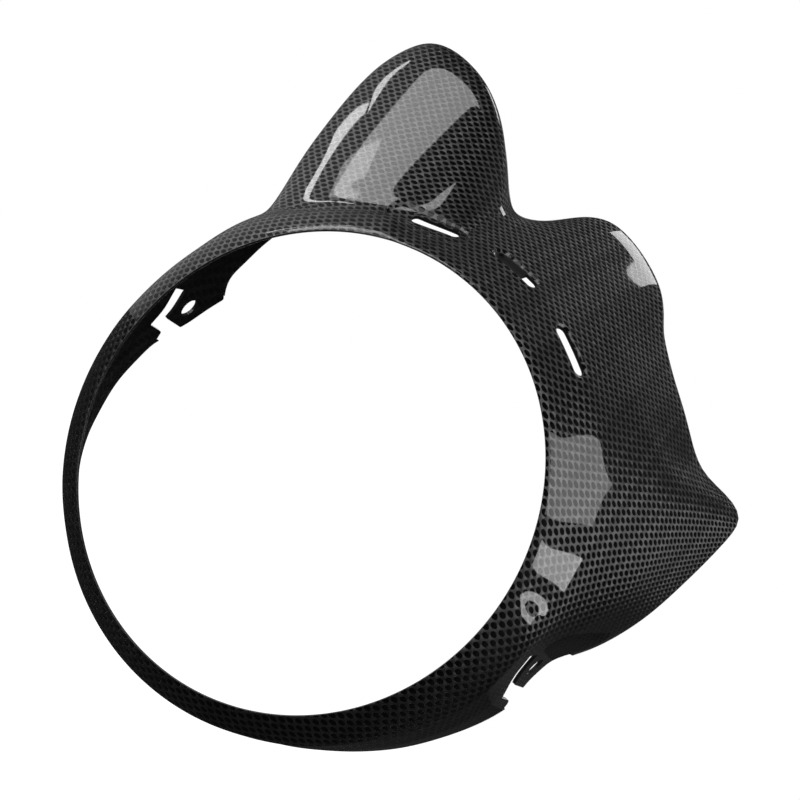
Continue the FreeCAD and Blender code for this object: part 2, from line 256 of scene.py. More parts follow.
def turned(coordinates: np.ndarray, angle: float) -> np.ndarray:
    """Turn pairs of coordinates about their origin.

    Args:
        coordinates: The pairs, the two coordinates last.
        angle: How far to turn, in radians.

    Returns:
        The turned pairs.
    """
    cos_turn, sin_turn = math.cos(angle), math.sin(angle)
    u, v = coordinates[..., 0], coordinates[..., 1]
    return np.stack([u * cos_turn - v * sin_turn, u * sin_turn + v * cos_turn], axis=-1)


@dataclass(frozen=True)
class MouldedForm:
    """The smooth moulded surface behind the shell, steered by its stations.

    Each cut has six steered rows, at its lip, flat, nose, foot, brow and rim, and the shares say
    where more rows go between them.
    """

    columns: int = 120
    steered_rows: int = 6
    nose_to_foot: tuple[float, ...] = (0.6,)
    foot_to_brow: tuple[float, ...] = (0.14, 0.48, 0.84)
    brow_to_rim: tuple[float, ...] = (0.3, 0.65)

    @staticmethod
    def stations() -> list[Station]:
        """Join the stations once round the ring.

        Returns:
            Every station, from the bottom through the right, top and left.
        """
        right_band = [Station(-row[0], *row[1:]) for row in LOWER_BAND]
        left_band = [Station(180.0 + row[0], *row[1:]) for row in reversed(LOWER_BAND)]
        return right_band + RIGHT_WING + CROWN + HOOD + LEFT_SIDE + left_band[:-1]

    @staticmethod
    def closed_curve(angles: np.ndarray, values: np.ndarray, at: np.ndarray) -> np.ndarray:
        """Read the closed curve through some station values that never overshoots between them.

        Args:
            angles: Station angles in degrees, in order round the ring.
            values: One value for each station.
            at: Angles to read the curve at.

        Returns:
            The curve's value at each angle.
        """
        steps = (np.roll(angles, -1) - angles) % FULL_TURN
        rises = (np.roll(values, -1) - values) / steps
        before, after = np.roll(rises, 1), rises
        steps_before = np.roll(steps, 1)
        weight_before = 2.0 * steps + steps_before
        weight_after = steps + 2.0 * steps_before
        monotone = before * after > 0.0
        safe_before = np.where(monotone, before, 1.0)
        safe_after = np.where(monotone, after, 1.0)
        blended = (weight_before + weight_after) / (
            weight_before / safe_before + weight_after / safe_after
        )
        slopes = np.where(monotone, blended, 0.0)
        offsets = (at[:, None] - angles[None, :]) % FULL_TURN
        found = np.argmin(offsets, axis=1)
        following = (found + 1) % len(angles)
        t = offsets[np.arange(len(at)), found] / steps[found]
        return (
            values[found] * (1.0 + 2.0 * t) * (1.0 - t) ** 2
            + slopes[found] * steps[found] * t * (1.0 - t) ** 2
            + values[following] * t * t * (3.0 - 2.0 * t)
            + slopes[following] * steps[found] * t * t * (t - 1.0)
        )

    def profile(self, nose: np.ndarray, foot: np.ndarray, brow: np.ndarray, rim: np.ndarray) -> np.ndarray:
        """Control points of every radial cut, from the lip to the trimmed rear edge.

        Args:
            nose: Radius and depth of the rolled front edge at each column.
            foot: The same for the end of the shoulder.
            brow: The same for where the flank turns back.
            rim: The same for the rear edge.

        Returns:
            Control points as columns by rows by (radius, depth).
        """
        def between(start: np.ndarray, end: np.ndarray, shares: tuple[float, ...]) -> list[np.ndarray]:
            """Points on the straight line from start to end at the given shares."""
            return [start + (end - start) * share for share in shares]

        lip = np.tile([RING.radius - RING.trim, 0.0], (len(nose), 1))
        flat = np.tile([RING.radius + RING.flat, 0.0], (len(nose), 1))
        rows = [
            lip,
            flat,
            nose,
            *between(nose, foot, self.nose_to_foot),
            foot,
            *between(foot, brow, self.foot_to_brow),
            brow,
            *between(brow, rim, self.brow_to_rim),
            rim,
        ]
        return np.stack(rows, axis=1)

    def net(self) -> np.ndarray:
        """Work out the control net of the outer skin.

        Returns:
            The net as columns by rows by XYZ, in millimetres.
        """
        stations = self.stations()
        angles = np.array([station.angle % FULL_TURN for station in stations])
        at = BOTTOM_ANGLE + FULL_TURN * np.arange(self.columns) / self.columns
        places = {}
        for name in ("nose", "foot", "brow", "rim"):
            values = np.array([getattr(station, name) for station in stations])
            read = [self.closed_curve(angles, values[:, part], at % FULL_TURN) for part in (0, 1)]
            places[name] = np.stack(read, axis=1)
        cuts = self.profile(**places)
        turn = np.radians(at)[:, None]
        radius, depth = cuts[..., 0], cuts[..., 1]
        return np.stack([radius * np.cos(turn), depth, radius * np.sin(turn)], axis=2)

    @staticmethod
    def offset(net: np.ndarray, distance: float) -> np.ndarray:
        """Control net with each point moved along its outward normal by a distance."""
        return net + normals_of(net) * distance

    def surface(self, net: np.ndarray, angles: np.ndarray, places: np.ndarray) -> np.ndarray:
        """Points of the surface that a control net steers.

        Args:
            net: Control net as columns by rows by XYZ.
            angles: Angles round the lamp axis in degrees.
            places: Places along each cut, from nought at the lip.

        Returns:
            Points as angles by places by XYZ.
        """
        around = closed_weights((angles - BOTTOM_ANGLE) / FULL_TURN * self.columns, self.columns)
        along = clamped_weights(places, net.shape[1])
        return np.einsum("ac,crx,pr->apx", around, net, along)

    def last_place(self) -> float:
        """Place of the rear edge along each cut."""
        between = len(self.nose_to_foot) + len(self.foot_to_brow) + len(self.brow_to_rim)
        return float(self.steered_rows + between - SPLINE_DEGREE)


def put_in_scene(name: str, data: bpy.types.ID) -> bpy.types.Object:
    """Put some data in the scene.

    Args:
        name: Name of its object.
        data: Mesh, camera or light.

    Returns:
        The object.
    """
    thing = bpy.data.objects.new(name, data)
    bpy.context.scene.collection.objects.link(thing)
    return thing


def slab(name: str, layers: list[np.ndarray], sheet: list[list[int]], border: list[int]) -> bpy.types.Mesh:
    """Close two like layers of points into a slab.

    Args:
        name: Name of the mesh.
        layers: The points of the two layers in millimetres, XYZ last.
        sheet: Faces that cover a layer, as the numbers of its points.
        border: Numbers of the points round a layer's edge, in order.

    Returns:
        The closed mesh in metres, its faces pointing outwards.
    """
    count = len(layers[0])
    walls = [[a, b, b + count, a + count] for a, b in zip(border, border[1:] + border[:1])]
    faces = sheet + [[number + count for number in face] for face in sheet] + walls
    build = bmesh.new()
    corners = [build.verts.new(point * MM) for point in np.concatenate(layers)]
    for face in faces:
        build.faces.new([corners[number] for number in face])
    bmesh.ops.recalc_face_normals(build, faces=build.faces)
    mesh = bpy.data.meshes.new(name)
    build.to_mesh(mesh)
    build.free()
    return mesh


class NodeMaths:
    """Nodes and sums of one node tree, in short calls."""

    def __init__(self, tree: bpy.types.NodeTree) -> None:
        """Keep the tree that the nodes go into."""
        self.tree = tree

    def link(self, source: object, target: Socket) -> None:
        """Feed an input.

        Args:
            source: Socket or plain value.
            target: Input that takes it.
        """
        if isinstance(source, Socket):
            self.tree.links.new(source, target)
        else:
            target.default_value = source

    def feed(self, node: bpy.types.Node, inputs: dict[str, object]) -> None:
        """Feed some inputs of a node, by their names."""
        for name, value in inputs.items():
            self.link(value, node.inputs[name])

    def node(self, kind: str, inputs: dict[str, object] | None = None, **settings: object) -> bpy.types.Node:
        """Add a node.

        Args:
            kind: Type of the node.
            inputs: What feeds its inputs, by their names.
            **settings: The node's own options.

        Returns:
            The node.
        """
        node = self.tree.nodes.new(kind)
        for name, value in settings.items():
            setattr(node, name, value)
        self.feed(node, inputs or {})
        return node

    def _math(self, operation: str, *values: object) -> Socket:
        """Add a maths node.

        Args:
            operation: What it does.
            *values: Sockets or numbers that it works on.

        Returns:
            The socket with its result.
        """
        node = self.node("ShaderNodeMath", operation=operation)
        for value, target in zip(values, node.inputs):
            self.link(value, target)
        return node.outputs[0]

    def add(self, a: object, b: object) -> Socket:
        """Sum of two values."""
        return self._math("ADD", a, b)

    def subtract(self, a: object, b: object) -> Socket:
        """First value less the second."""
        return self._math("SUBTRACT", a, b)

    def multiply(self, a: object, b: object) -> Socket:
        """Product of two values."""
        return self._math("MULTIPLY", a, b)

    def divide(self, a: object, b: object) -> Socket:
        """First value over the second."""
        return self._math("DIVIDE", a, b)

    def maximum(self, a: object, b: object) -> Socket:
        """Larger of two values."""
        return self._math("MAXIMUM", a, b)

    def power(self, a: object, b: object) -> Socket:
        """First value to the power of the second."""
        return self._math("POWER", a, b)

    def remainder(self, a: object, b: object) -> Socket:
        """First value modulo the second, never negative."""
        return self._math("FLOORED_MODULO", a, b)

    def less(self, a: object, b: object) -> Socket:
        """One where the first value is less than the second, else nought."""
        return self._math("LESS_THAN", a, b)

    def absolute(self, a: object) -> Socket:
        """Value without its sign."""
        return self._math("ABSOLUTE", a)

    def sign(self, a: object) -> Socket:
        """Sign of a value."""
        return self._math("SIGN", a)

    def floor(self, a: object) -> Socket:
        """Whole number below a value."""
        return self._math("FLOOR", a)

    def fraction(self, a: object) -> Socket:
        """What is left of a value above its whole number."""
        return self._math("FRACT", a)

    def cosine(self, a: object) -> Socket:
        """Cosine of an angle in radians."""
        return self._math("COSINE", a)

    def mix(self, share: object, low: object, high: object) -> Socket:
        """Value between low and high at a share."""
        return self.add(self.multiply(self.subtract(high, low), share), low)

    def split(self, vector: Socket) -> list[Socket]:
        """The three parts of a vector."""
        return list(self.node("ShaderNodeSeparateXYZ", {"Vector": vector}).outputs)

    def join(self, x: object, y: object, z: object) -> Socket:
        """Vector made of three values."""
        return self.node("ShaderNodeCombineXYZ", {"X": x, "Y": y, "Z": z}).outputs[0]

    def grey(self, shade: object) -> Socket:
        """Colour with the same shade in each of its parts."""
        return self.join(shade, shade, shade)

    def ramp(self, value: object, low: float, high: float) -> Socket:
        """Smooth rise from nought at low to one at high."""
        inputs = {"Value": value, "From Min": low, "From Max": high}
        return self.node("ShaderNodeMapRange", inputs, interpolation_type="SMOOTHSTEP").outputs["Result"]


def new_material(name: str) -> tuple[bpy.types.Material, bpy.types.Node, NodeMaths]:
    """Make a node material.

    Args:
        name: Name of the material.

    Returns:
        The material, its main shader and the maths of its tree.
    """
    material = bpy.data.materials.new(name)
    material.use_nodes = True
    shader = material.node_tree.nodes["Principled BSDF"]
    return material, shader, NodeMaths(material.node_tree)


@dataclass(frozen=True)
class Seat:
    """Where a vent slot stands: its middle on the skin and its own three directions."""

    middle: np.ndarray
    outward: np.ndarray
    around: np.ndarray
    up: np.ndarray


@dataclass(frozen=True)
class Slot:
    """One vent slot and its recess, in millimetres and degrees."""

    angle: float
    setback: float
    turn: float
    recess_margin: float
    recess_drop: float
    recess_extra_length: float

    def seat(self, below_foot: float) -> Seat:
        """Find the slot's seat on the slope from the lamp ring to the crown.

        Args:
            below_foot: How far down the slope from the crown's foot the slots stand.

        Returns:
            The seat, with its directions outward, round the lamp and up the slope.
        """
        slope = np.array(CROWN_FOOT) - np.array(LEAN_NOSE)
        slope /= np.linalg.norm(slope)
        place, turn = math.radians(self.angle), math.radians(self.angle + self.turn)
        back = np.array([0.0, 1.0, 0.0])
        radial = np.array([math.cos(turn), 0.0, math.sin(turn)])
        around = np.array([-math.sin(turn), 0.0, math.cos(turn)])
        up = radial * slope[0] + back * slope[1]
        outward = radial * slope[1] - back * slope[0]
        foot = np.array([math.cos(place), 0.0, math.sin(place)]) * CROWN_FOOT[0] + back * CROWN_FOOT[1]
        return Seat(foot + up * (self.setback - below_foot), outward, around, up)


@dataclass(frozen=True)
class VentSlots:
    """The three vent slots over the lamp, the recess round each and the tab behind the middle one.

    The search gives the first and last place along a cut, and the number of tries between them, at
    which the tab looks for its own rows.
    """

    length: float = 21.2
    width: float = 5.0
    below_foot: float = 1.1
    recess_depth: float = 0.8
    recess_softness: float = 0.45
    reach: float = 6.0
    sides: int = 50
    tab_open_length: float = 7.3
    tab_margin: float = 3.0
    tab_thickness: float = 1.4
    tab_sink: float = 0.2
    tab_columns: int = 20
    tab_rows: int = 9
    search: tuple[float, float, int] = (1.0, 5.0, 200)
    slots: tuple[Slot, ...] = (
        Slot(109.9, -1.3, 2.5, 2.6, 3.6, 5.5),
        Slot(90.5, 3.2, 0.0, 1.0, 0.0, 0.0),
        Slot(69.2, 0.0, -2.5, 1.0, 0.0, 0.0),
    )
    tabbed: int = 1

    def sink(self, points: np.ndarray) -> np.ndarray:
        """How far each point of the skin sinks into the recesses.

        Args:
            points: Points of the moulded form, XYZ last, in millimetres.

        Returns:
            The displacement of each point, XYZ last.
        """
        moved = np.zeros_like(points)
        for slot in self.slots:
            seat = slot.seat(self.below_foot)
            shift = seat.around * slot.recess_extra_length / 2.0 - seat.up * slot.recess_drop / 2.0
            offset = points - (seat.middle + shift)
            half = (self.length - self.width + slot.recess_extra_length) / 2.0
            edge = self.width / 2.0 + slot.recess_margin + slot.recess_drop / 2.0
            past_end = np.maximum(np.abs(offset @ seat.around) - half, 0.0)
            distance = np.hypot(past_end, offset @ seat.up)
            near = np.abs(offset @ seat.outward) < 2.0 * self.reach
            depth = 1.0 - smooth_step(distance, edge - self.recess_softness, edge + self.recess_softness)
            moved -= (depth * near * self.recess_depth)[..., None] * seat.outward
        return moved

    def tab(self, form: MouldedForm, net: np.ndarray, wall: float) -> bpy.types.Mesh:
        """Slab inside the shell that stands behind part of the middle slot.

        Args:
            form: The moulded form.
            net: Control net of the outer skin.
            wall: Thickness of the laminate.

        Returns:
            The closed mesh of the slab, in metres.
        """
        slot = self.slots[self.tabbed]
        seat = slot.seat(self.below_foot)
        degrees_along = math.degrees(1.0 / float(np.hypot(seat.middle[0], seat.middle[2])))
        first = slot.angle + (self.tab_open_length - self.length / 2.0) * degrees_along
        last = slot.angle + (self.length / 2.0 + self.tab_margin) * degrees_along
        angles = np.linspace(first, last, self.tab_columns)
        tries = np.linspace(*self.search)
        climb = (form.surface(net, np.array([slot.angle]), tries)[0] - seat.middle) @ seat.up
        side = self.width / 2.0 + self.tab_margin
        places = np.interp(np.linspace(-side, side, self.tab_rows), climb, tries)
        top = -wall - self.recess_depth + self.tab_sink
        layers = [
            form.surface(form.offset(net, top - depth), angles, places).reshape(-1, 3)
            for depth in (0.0, self.tab_sink + self.tab_thickness)
        ]
        index = np.arange(len(layers[0])).reshape(self.tab_columns, self.tab_rows)
        quads = np.stack([index[:-1, :-1], index[1:, :-1], index[1:, 1:], index[:-1, 1:]], axis=2)
        border = [*index[:, 0], *index[-1, 1:], *index[-2::-1, -1], *index[0, -2:0:-1]]
        return slab("slot_tab", layers, quads.reshape(-1, 4).tolist(), border)

    def cutters(self, material: bpy.types.Material) -> bpy.types.Mesh:
        """Stadium-shaped cutters, one standing in each slot.

        Args:
            material: Material of the cut faces.

        Returns:
            One mesh with every cutter.
        """
        tree = self._tree()
        seats = [slot.seat(self.below_foot) for slot in self.slots]
        points = bpy.data.meshes.new("slot_cutters")
        points.from_pydata([tuple(seat.middle * MM) for seat in seats], [], [])
        for name in ("outward", "around"):
            layer = points.attributes.new(name, "FLOAT_VECTOR", "POINT")
            layer.data.foreach_set("vector", np.concatenate([getattr(seat, name) for seat in seats]))
        holder = put_in_scene("slot_cutters", points)
        modifier = holder.modifiers.new("slots", "NODES")
        modifier.node_group = tree
        values = {
            "Length": self.length * MM,
            "Width": self.width * MM,
            "Reach": self.reach * MM,
            "Material": material,
        }
        for item in tree.interface.items_tree:
            if item.item_type == "SOCKET" and item.in_out == "INPUT" and item.name in values:
                modifier[item.identifier] = values[item.name]
        evaluated = holder.evaluated_get(bpy.context.evaluated_depsgraph_get())
        mesh = bpy.data.meshes.new_from_object(evaluated)
        holder.modifiers.remove(modifier)
        bpy.data.objects.remove(holder)
        return mesh

    def _tree(self) -> bpy.types.NodeTree:
        """Geometry Nodes tree that stands one cutter at each seat, by its two stored directions.

        Returns:
            The tree, whose inputs are the slots' length, width, reach and material.
        """
        tree = bpy.data.node_groups.new("slot_cutters", "GeometryNodeTree")
        kinds = {
            "Geometry": "NodeSocketGeometry",
            "Length": "NodeSocketFloat",
            "Width": "NodeSocketFloat",
            "Reach": "NodeSocketFloat",
            "Material": "NodeSocketMaterial",
        }
        for name, kind in kinds.items():
            tree.interface.new_socket(name, in_out="INPUT", socket_type=kind)
        tree.interface.new_socket("Geometry", in_out="OUTPUT", socket_type="NodeSocketGeometry")
        maths = NodeMaths(tree)
        given = maths.node("NodeGroupInput").outputs

        bar = maths.node("GeometryNodeMeshCylinder", {
            "Vertices": self.sides,
            "Radius": maths.divide(given["Width"], 2.0),
            "Depth": maths.multiply(given["Reach"], 2.0),
        })
        half = maths.divide(maths.subtract(given["Length"], given["Width"]), 2.0)
        place = maths.split(maths.node("GeometryNodeInputPosition").outputs[0])
        stretch = maths.node("GeometryNodeSetPosition", {
            "Geometry": bar.outputs["Mesh"],
            "Offset": maths.join(maths.multiply(maths.sign(place[0]), half), 0.0, 0.0),
        })

        directions = {}
        for name, target in (("outward", "Primary Axis"), ("around", "Secondary Axis")):
            stored = maths.node("GeometryNodeInputNamedAttribute", {"Name": name}, data_type="FLOAT_VECTOR")
            directions[target] = stored.outputs["Attribute"]
        aim = maths.node("FunctionNodeAxesToRotation", directions, primary_axis="Z", secondary_axis="X")
        stand = maths.node("GeometryNodeInstanceOnPoints", {
            "Points": given["Geometry"],
            "Instance": stretch.outputs[0],
            "Rotation": aim.outputs[0],
        })

        real = maths.node("GeometryNodeRealizeInstances", {"Geometry": stand.outputs[0]})
        dressed = {"Geometry": real.outputs[0], "Material": given["Material"]}
        paint = maths.node("GeometryNodeSetMaterial", dressed)
        maths.node("NodeGroupOutput", {"Geometry": paint.outputs[0]})
        return tree


@dataclass(frozen=True)
class SideEars:
    """What is trimmed and drilled at the two side ears, seen along X, in millimetres."""

    hole_radius: float = 4.25
    hole_depth: float = 49.6
    hole_height: float = 5.9
    before_hole: float = 7.3
    behind_hole: float = 8.3
    below_hole: float = 9.4
    front_lean: float = 5.4
    rear_rake: float = 7.6
    shoulder_above_hole: float = 12.1
    corner_round: float = 1.0
    notch_mouth_width: float = 7.0
    notch_top_width: float = 9.0
    notch_above_hole: float = 5.1
    notch_corner_round: float = 0.8
    mouth_height: float = 6.4
    band_corner_length: float = 12.6
    band_corner_drop: float = 4.0
    band_corner_round: float = 3.0
    left_step_length: float = 10.0
    left_step_rise: float = 5.5
    step_round: float = 2.0
    cut_reach: float = 20.0
    behind_all: float = 103.0
    arc_steps: int = 6
    hole_sides: int = 64

    def outline(self, side: Side) -> list[Triple]:
        """What is trimmed away round one ear.

        Args:
            side: Which ear.

        Returns:
            Corners of the outline in order, as (depth, height, rounding radius).
        """
        tip = self.hole_height - self.below_hole
        notch_top = self.hole_height + self.notch_above_hole
        mouth_floor = tip - self.mouth_height
        shoulder = self.hole_height + self.shoulder_above_hole
        front_low = self.hole_depth - self.before_hole
        front_high = front_low - self.front_lean
        rear_low = self.hole_depth + self.behind_hole
        rear_high = rear_low + self.rear_rake
        lean_below = self.front_lean * self.mouth_height / (notch_top - tip)
        mouth_front = front_low - self.notch_mouth_width + lean_below
        band_corner = mouth_front + self.band_corner_length
        above = shoulder
        step = []
        if side is Side.LEFT:
            above = shoulder + self.left_step_rise
            step = [(rear_high - self.left_step_length, above, self.step_round)]
        return [
            (front_high - self.notch_top_width, notch_top, self.notch_corner_round),
            (front_high, notch_top, self.notch_corner_round),
            (front_low, tip, self.corner_round),
            (rear_low, tip, self.corner_round),
            (rear_high, shoulder, self.corner_round),
            *step,
            (self.behind_all, above, 0.0),
            (self.behind_all, mouth_floor - self.band_corner_drop, 0.0),
            (band_corner + self.band_corner_drop / 2.0, mouth_floor - self.band_corner_drop, 0.0),
            (band_corner, mouth_floor, self.band_corner_round),
            (mouth_front, mouth_floor, self.notch_corner_round),
        ]

    def rounded(self, side: Side) -> np.ndarray:
        """What is trimmed away round one ear, its corners rounded.

        Args:
            side: Which ear.

        Returns:
            Points of the outline in order, as (depth, height).
        """
        corners = self.outline(side)
        points = []
        for i, (depth, height, radius) in enumerate(corners):
            here = np.array([depth, height])
            if radius == 0.0:
                points.append(here)
                continue
            back = np.array(corners[i - 1][:2]) - here
            ahead = np.array(corners[(i + 1) % len(corners)][:2]) - here
            back /= np.linalg.norm(back)
            ahead /= np.linalg.norm(ahead)
            half_angle = math.acos(float(np.clip(back @ ahead, -1.0, 1.0))) / 2.0
            bisector = (back + ahead) / np.linalg.norm(back + ahead)
            middle = here + bisector * radius / math.sin(half_angle)
            start = here + back * radius / math.tan(half_angle) - middle
            sweep = math.pi - 2.0 * half_angle
            if start[0] * ahead[1] - start[1] * ahead[0] < 0.0:
                sweep = -sweep
            turns = [sweep * step / self.arc_steps for step in range(self.arc_steps + 1)]
            points += [middle + turned(start, turn) for turn in turns]
        return np.array(points)

    def cutters(self) -> list[bpy.types.Mesh]:
        """Trims and fixing holes of both ears.

        Returns:
            The closed meshes to cut away.
        """
        circle = np.linspace(0.0, 2.0 * math.pi, self.hole_sides, endpoint=False)
        hole = np.stack([
            self.hole_depth + self.hole_radius * np.cos(circle),
            self.hole_height + self.hole_radius * np.sin(circle),
        ], axis=1)
        return [self._prism(outline, side) for side in Side for outline in (self.rounded(side), hole)]

    def _prism(self, outline: np.ndarray, side: Side) -> bpy.types.Mesh:
        """Closed prism that passes through one ear.

        Args:
            outline: Its section as (depth, height) points.
            side: Which ear.

        Returns:
            The prism's mesh.
        """
        corners = list(range(len(outline)))
        layers = [
            np.insert(outline, 0, side.value * (FULL_NOSE[0] + reach), axis=1)
            for reach in (-self.cut_reach, self.cut_reach)
        ]
        return slab("ear_cutter", layers, [corners], corners)


@dataclass(frozen=True)
class WovenCarbon:
    """Woven carbon cloth under resin. Its pattern reads the cloth's own lay over the shell.

    Each tow mirrors light as its fibres do, in a fan that stands square to them. On top of that the
    base colour is painted light and shade: the tows that run up the cloth are painted light and those
    that run across it painted dark, for how the lamps fall on them, though both are the same fibre.
    """

    name: str
    pitch: float
    repeat: int
    # Base colours of the tows: painted shade on the tows that run across, painted light on those that run
    # up.
    painted_shade_cross: float
    painted_light_upright: float
    roughness: float
    coat: float
    coat_roughness: float
    tow_relief: float
    fibre_relief: float
    overlap: float = 0.22
    cross_half_width: float = 0.47
    cross_fade: float = 0.15
    upright_relief: float = 1.6
    upright_low: float = 0.5
    crown_power: float = 2.4
    fibres_across: float = 14.0
    fibre_stride: float = 7.31
    cross_stride: float = 57.0
    cross_turns: float = 0.25
    shade_spread: float = 0.25
    anisotropy: float = 0.9

    def material(self) -> bpy.types.Material:
        """Build the material.

        Returns:
            The material.
        """
        material, shader, maths = new_material(self.name)
        u, v, _ = maths.split(maths.node("ShaderNodeUVMap", uv_map=CLOTH_MAP).outputs[0])
        u, v = maths.divide(u, self.pitch), maths.divide(v, self.pitch)
        column, row = maths.floor(u), maths.floor(v)
        in_u, in_v = maths.fraction(u), maths.fraction(v)
        dome = self._dome(maths, maths.add(u, row), in_v)
        ridge = self._ridge(maths, maths.add(v, column), in_u)
        crosses = maths.less(0.0, dome)
        tow = maths.mix(crosses, column, row)
        height = maths.maximum(dome, maths.multiply(ridge, self.upright_relief))
        # Painted light and shade in the base colour: light on the tows that run up the cloth, dark on those
        # that run across it, for how the lamps fall on them.
        plain = maths.mix(maths.ramp(dome, 0.0, self.cross_fade), self.painted_light_upright, self.painted_shade_cross)
        variation = self._variation(maths, tow, crosses)
        glint = maths.mix(variation, 1.0 - self.shade_spread, 1.0 + self.shade_spread)
        tangent = maths.node("ShaderNodeTangent", direction_type="UV_MAP", uv_map=CLOTH_MAP)
        maths.feed(shader, {
            "Base Color": maths.grey(maths.multiply(plain, glint)),
            "Normal": self._bump(maths, height, maths.mix(crosses, in_u, in_v), tow),
            "Metallic": 1.0,
            "Roughness": self.roughness,
            "Anisotropic": self.anisotropy,
            "Anisotropic Rotation": maths.multiply(crosses, self.cross_turns),
            "Tangent": tangent.outputs[0],
            "Coat Weight": self.coat,
            "Coat Roughness": self.coat_roughness,
        })
        return material

    def _dome(self, maths: NodeMaths, along: Socket, in_v: Socket) -> Socket:
        """Raised float of a tow that runs across the cloth.

        Args:
            maths: Maths of the material.
            along: Place along the tow, in pitches.
            in_v: Place across the tow, from nought to one.

        Returns:
            Height that falls below nought where the tow dips under.
        """
        from_middle = self._from_middle(maths, along, -self.repeat / 4.0)
        long_part = maths.power(maths.divide(from_middle, self.repeat / 4.0 + self.overlap), 2.0)
        aside = maths.absolute(maths.subtract(in_v, 0.5))
        wide_part = maths.power(maths.divide(aside, self.cross_half_width), 2.0)
        return maths.subtract(1.0, maths.add(long_part, wide_part))

    def _ridge(self, maths: NodeMaths, along: Socket, in_u: Socket) -> Socket:
        """Rounded ridge of a tow that runs up the cloth, lower where it dips under.

        Args:
            maths: Maths of the material.
            along: Place along the tow, in pitches.
            in_u: Place across the tow, from nought to one.

        Returns:
            Height of the ridge.
        """
        from_middle = self._from_middle(maths, along, self.repeat / 4.0)
        arch = maths.cosine(maths.multiply(from_middle, 2.0 * math.pi / self.repeat))
        aside = maths.absolute(maths.subtract(maths.multiply(in_u, 2.0), 1.0))
        crown = maths.subtract(1.0, maths.power(aside, self.crown_power))
        return maths.multiply(maths.mix(arch, self.upright_low, 1.0), crown)

    def _from_middle(self, maths: NodeMaths, along: Socket, shift: float) -> Socket:
        """Distance along a tow from the middle of its nearest float, in pitches."""
        wrapped = maths.remainder(maths.add(along, shift), float(self.repeat))
        return maths.absolute(maths.subtract(wrapped, self.repeat / 2.0))

    def _bump(self, maths: NodeMaths, height: Socket, across: Socket, tow: Socket) -> Socket:
        """Surface normal of the tows with the fine ridges of their fibres.

        Args:
            maths: Maths of the material.
            height: Height of the tows.
            across: Place across the tow on top, from nought to one.
            tow: Number of that tow.

        Returns:
            The normal.
        """
        fibre = maths.multiply(across, self.fibres_across)
        place = maths.join(fibre, maths.multiply(tow, self.fibre_stride), 0.0)
        inputs = {"Vector": place, "Scale": 1.0, "Detail": 1.0}
        fibres = maths.node("ShaderNodeTexNoise", inputs, noise_dimensions="2D").outputs[0]
        ridges = maths.multiply(fibres, self.fibre_relief)
        total = maths.add(maths.multiply(height, self.tow_relief), ridges)
        return maths.node("ShaderNodeBump", {"Height": total, "Strength": 1.0, "Distance": 1.0}).outputs[0]

    def _variation(self, maths: NodeMaths, tow: Socket, crosses: Socket) -> Socket:
        """Share from nought to one that differs from tow to tow."""
        place = {"Vector": maths.join(tow, maths.multiply(crosses, self.cross_stride), 0.0)}
        return maths.node("ShaderNodeTexWhiteNoise", place, noise_dimensions="2D").outputs["Value"]


@dataclass(frozen=True)
class SealedEdge:
    """Trimmed laminate edge, sealed with black resin."""

    name: str = "sealed_edge"
    shade: float = 0.02
    shade_low: float = 0.5
    roughness: float = 0.3
    roughest: float = 0.45
    coat_roughness: float = 0.08
    grain: float = 900.0
    grain_detail: float = 3.0
    relief: float = 0.00003

    def material(self) -> bpy.types.Material:
        """Build the material.

        Returns:
            The material.
        """
        material, shader, maths = new_material(self.name)
        place = maths.node("ShaderNodeTexCoord").outputs["Object"]
        inputs = {"Vector": place, "Scale": self.grain, "Detail": self.grain_detail}
        grain = maths.node("ShaderNodeTexNoise", inputs).outputs[0]
        relief = {"Height": maths.multiply(grain, self.relief), "Distance": 1.0}
        maths.feed(shader, {
            "Base Color": maths.grey(maths.multiply(maths.add(grain, self.shade_low), self.shade)),
            "Roughness": maths.mix(grain, self.roughness, self.roughest),
            "Normal": maths.node("ShaderNodeBump", relief).outputs[0],
            "Coat Weight": 1.0,
            "Coat Roughness": self.coat_roughness,
        })
        return material


